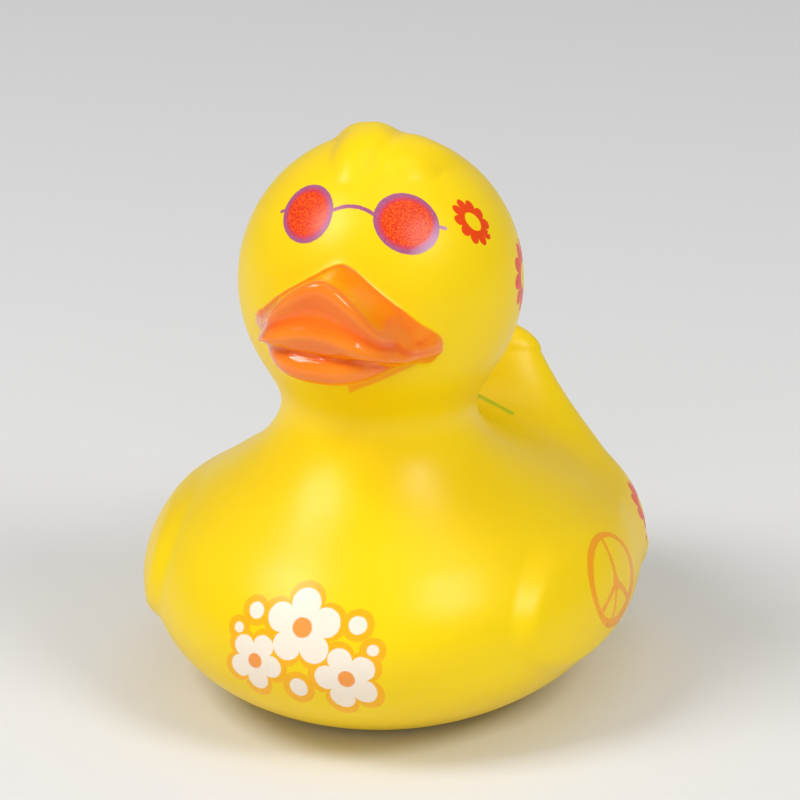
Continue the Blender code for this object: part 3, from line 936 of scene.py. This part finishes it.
def stem(n, place, skin, edge):
    """A thin green stem on the front of the tail."""
    patch = Patch(n, place, (7.95, 21.11, 34.75), (0.8139, 0.5810, 0.0), (-0.5459, 0.7646, 0.3425))
    shape = n.lowest(
        patch.stroke((-2.4, 3.0), (2.2, -2.5), 0.75),
        patch.ellipse(2.25, -2.6, 0.75, 0.5, 130.0),
    )
    mask = patch.near(n.add(shape, edge), 0.12)
    return n.print_on(skin, mask, 0.55, STEM_GREEN), mask


def overspray(n, place, skin, edge):
    """Thin orange paint that ran past the mask under the bill."""
    tilt = (math.cos(BILL_TILT), 0.0, -math.sin(BILL_TILT))
    under = Patch(n, place, tuple(HEAD_CENTRE / MM), tilt, (0.0, 0.0, 1.0))
    slope, low, top = 0.600, -11.8, -1.2
    from_u, to_u, from_depth = 1.8, 13.5, 10.0
    inside = n.add(n.lowest(
        n.maths("SUBTRACT", under.v, n.maths("MULTIPLY_ADD", under.u, slope, low)),
        n.maths("SUBTRACT", under.u, from_u),
        n.maths("SUBTRACT", to_u, under.u),
        n.maths("SUBTRACT", top, under.v),
    ), edge)
    in_front = n.maths("GREATER_THAN", under.depth, from_depth)
    mask = n.times(n.ramp(inside, -0.05, 0.25), in_front)
    return n.print_on(skin, mask, 0.75, THIN_ORANGE)


def bill_paint(n, place):
    """The bill's orange, with painted shade deeper in its folds and a painted highlight lighter on
    its ridges, and where it covers.
    """
    fold = n.attribute("fold")
    orange = n.tone(n.noise(place, 160.0, 3.0), 0.3, 0.75, ORANGE)
    # Painted shade: the bill's folds are darkened towards a deeper orange
    orange = n.mix(n.ramp(fold, 0.05, 0.9, 0.0, 0.6), orange, colour(*FOLD_SHADE_ORANGE))
    # Painted highlight: the bill's ridges are lightened towards a paler orange
    orange = n.mix(n.ramp(fold, -0.45, -1.0, 0.0, 0.25), orange, colour(*RIDGE_HIGHLIGHT_ORANGE))
    wander = n.maths("MULTIPLY_ADD", n.noise(place, 700.0, 3.0), 0.28, -0.14)
    return orange, n.ramp(n.add(n.attribute("paint"), wander), -0.12, 0.22)


def vinyl(middle):
    """The yellow vinyl with its painted bill and all its prints."""
    n = Nodes("duck_vinyl")
    place = n.vector("ADD", n.object_place(), (0.0, middle, 0.0))
    grain = n.noise(place, 4200.0, 2.0, 0.7)
    edge = n.maths("MULTIPLY_ADD", n.noise(place, 1500.0, 2.0), 0.16, -0.08)
    skin = n.tone(n.noise(place, 38.0, 3.0, 0.55), 0.3, 0.7, YELLOW)
    skin, ink = glasses(n, place, skin, grain, edge)
    for ornament in (daisies, peace_sign, chest_blossoms, stem):
        skin, more = ornament(n, place, skin, edge)
        ink = n.highest(ink, more)
    skin = overspray(n, place, skin, edge)
    orange, painted = bill_paint(n, place)
    n.set("Base Color", n.mix(painted, skin, orange))

    # Satin vinyl, a little smoother under ink and much smoother under the bill's paint
    rough = n.ramp(n.noise(place, 220.0, 4.0, 0.6), 0.25, 0.8, 0.29, 0.38)
    n.set("Roughness", n.add(rough, n.times(ink, -0.05), n.times(painted, -0.17)))
    n.set("IOR", 1.5)
    n.set("Specular IOR Level", 0.28)
    n.set("Coat Weight", n.times(painted, 0.55))
    n.set("Coat Roughness", 0.05)
    fine = n.noise(place, 2600.0, 3.0, 0.6)
    n.bump(n.add(fine, n.times(ink, 0.8), n.times(painted, 0.8)), 0.25, 0.04 * MM)
    return n.material


def moulded_plastic():
    """The squeaker's off-white plastic."""
    n = Nodes("squeaker_plastic")
    place = n.object_place()
    n.set("Base Color", n.tone(n.noise(place, 180.0, 3.0), 0.3, 0.7, OFF_WHITE))
    n.set("Roughness", n.ramp(n.noise(place, 900.0, 3.0), 0.3, 0.7, 0.36, 0.52))
    n.bump(n.noise(place, 3500.0, 2.0), 0.3, 0.05 * MM)
    return n.material


def pale(name, shade):
    """A matt surface of one pale grey."""
    n = Nodes(name)
    n.set("Base Color", (shade, shade, shade, 1.0))
    n.set("Roughness", 0.9)
    return n.material


def dress(thing, material):
    """Give an object one material."""
    thing.data.materials.clear()
    thing.data.materials.append(material)


def floor_and_backdrop():
    """A plain pale floor that curves up behind."""
    across, front, back, rise, bend = 2.4, -1.6, 1.5, 1.6, 0.5
    steps = 16
    profile = [(front, 0.0), (back - bend, 0.0)]
    for i in range(1, steps + 1):
        angle = 0.5 * math.pi * i / steps
        profile.append((back - bend + bend * math.sin(angle), bend - bend * math.cos(angle)))
    profile.append((back, rise))
    points = [(side * across, y, z) for y, z in profile for side in (-1, 1)]
    faces = [(2 * i, 2 * i + 1, 2 * i + 3, 2 * i + 2) for i in range(len(profile) - 1)]
    mesh = bpy.data.meshes.new("floor")
    mesh.from_pydata(points, [], faces)
    mesh.shade_smooth()
    mesh.materials.append(pale("floor_paint", FLOOR_SHADE))
    link(mesh, "floor")


def area_light(name, azimuth, elevation, distance, size, power, mirrored=True):
    """A soft square light aimed at the duck, whose gloss shows it unless mirrored is false."""
    lamp = bpy.data.lights.new(name, "AREA")
    lamp.shape = "SQUARE"
    lamp.size = size
    lamp.energy = power
    thing = link(lamp, name)
    thing.visible_glossy = mirrored
    look_from(thing, math.radians(azimuth), math.radians(elevation), distance, LIGHT_TARGET)


def lights():
    """Two soft boxes, a top light, a wide front fill and an even grey world."""
    area_light("left_box", -48.0, 50.0, 0.9, 0.36, 4.0)
    area_light("right_box", 68.0, 45.0, 0.9, 0.32, 2.7)
    area_light("top_box", 100.0, 80.0, 1.0, 0.60, 0.9)
    area_light("front_fill", 10.0, 12.0, 1.0, 0.90, 2.2, mirrored=False)
    world = bpy.data.worlds.new("studio")
    bpy.context.scene.world = world
    world.use_nodes = True
    background = world.node_tree.nodes["Background"]
    background.inputs["Color"].default_value = (1.0, 1.0, 1.0, 1.0)
    background.inputs["Strength"].default_value = WORLD_LEVEL


def camera(middle):
    """The camera at the photograph's angle."""
    lens = bpy.data.cameras.new("camera")
    lens.lens = CAMERA_LENS
    lens.sensor_width = 36.0
    lens.shift_x = CAMERA_SHIFT_X
    lens.shift_y = CAMERA_SHIFT_Y
    lens.clip_start = 0.01
    thing = link(lens, "camera")
    target = CAMERA_TARGET - Vector((0.0, middle, 0.0))
    look_from(thing, CAMERA_AZIMUTH, CAMERA_ELEVATION, CAMERA_DISTANCE, target)
    bpy.context.scene.camera = thing


shell, middle = duck_skin()
dress(shell, vinyl(middle))
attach(shell, "root")
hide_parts("duck_body")

dress(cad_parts["squeaker"], moulded_plastic())

floor_and_backdrop()
lights()
camera(middle)
bpy.context.scene.view_settings.view_transform = "Standard"
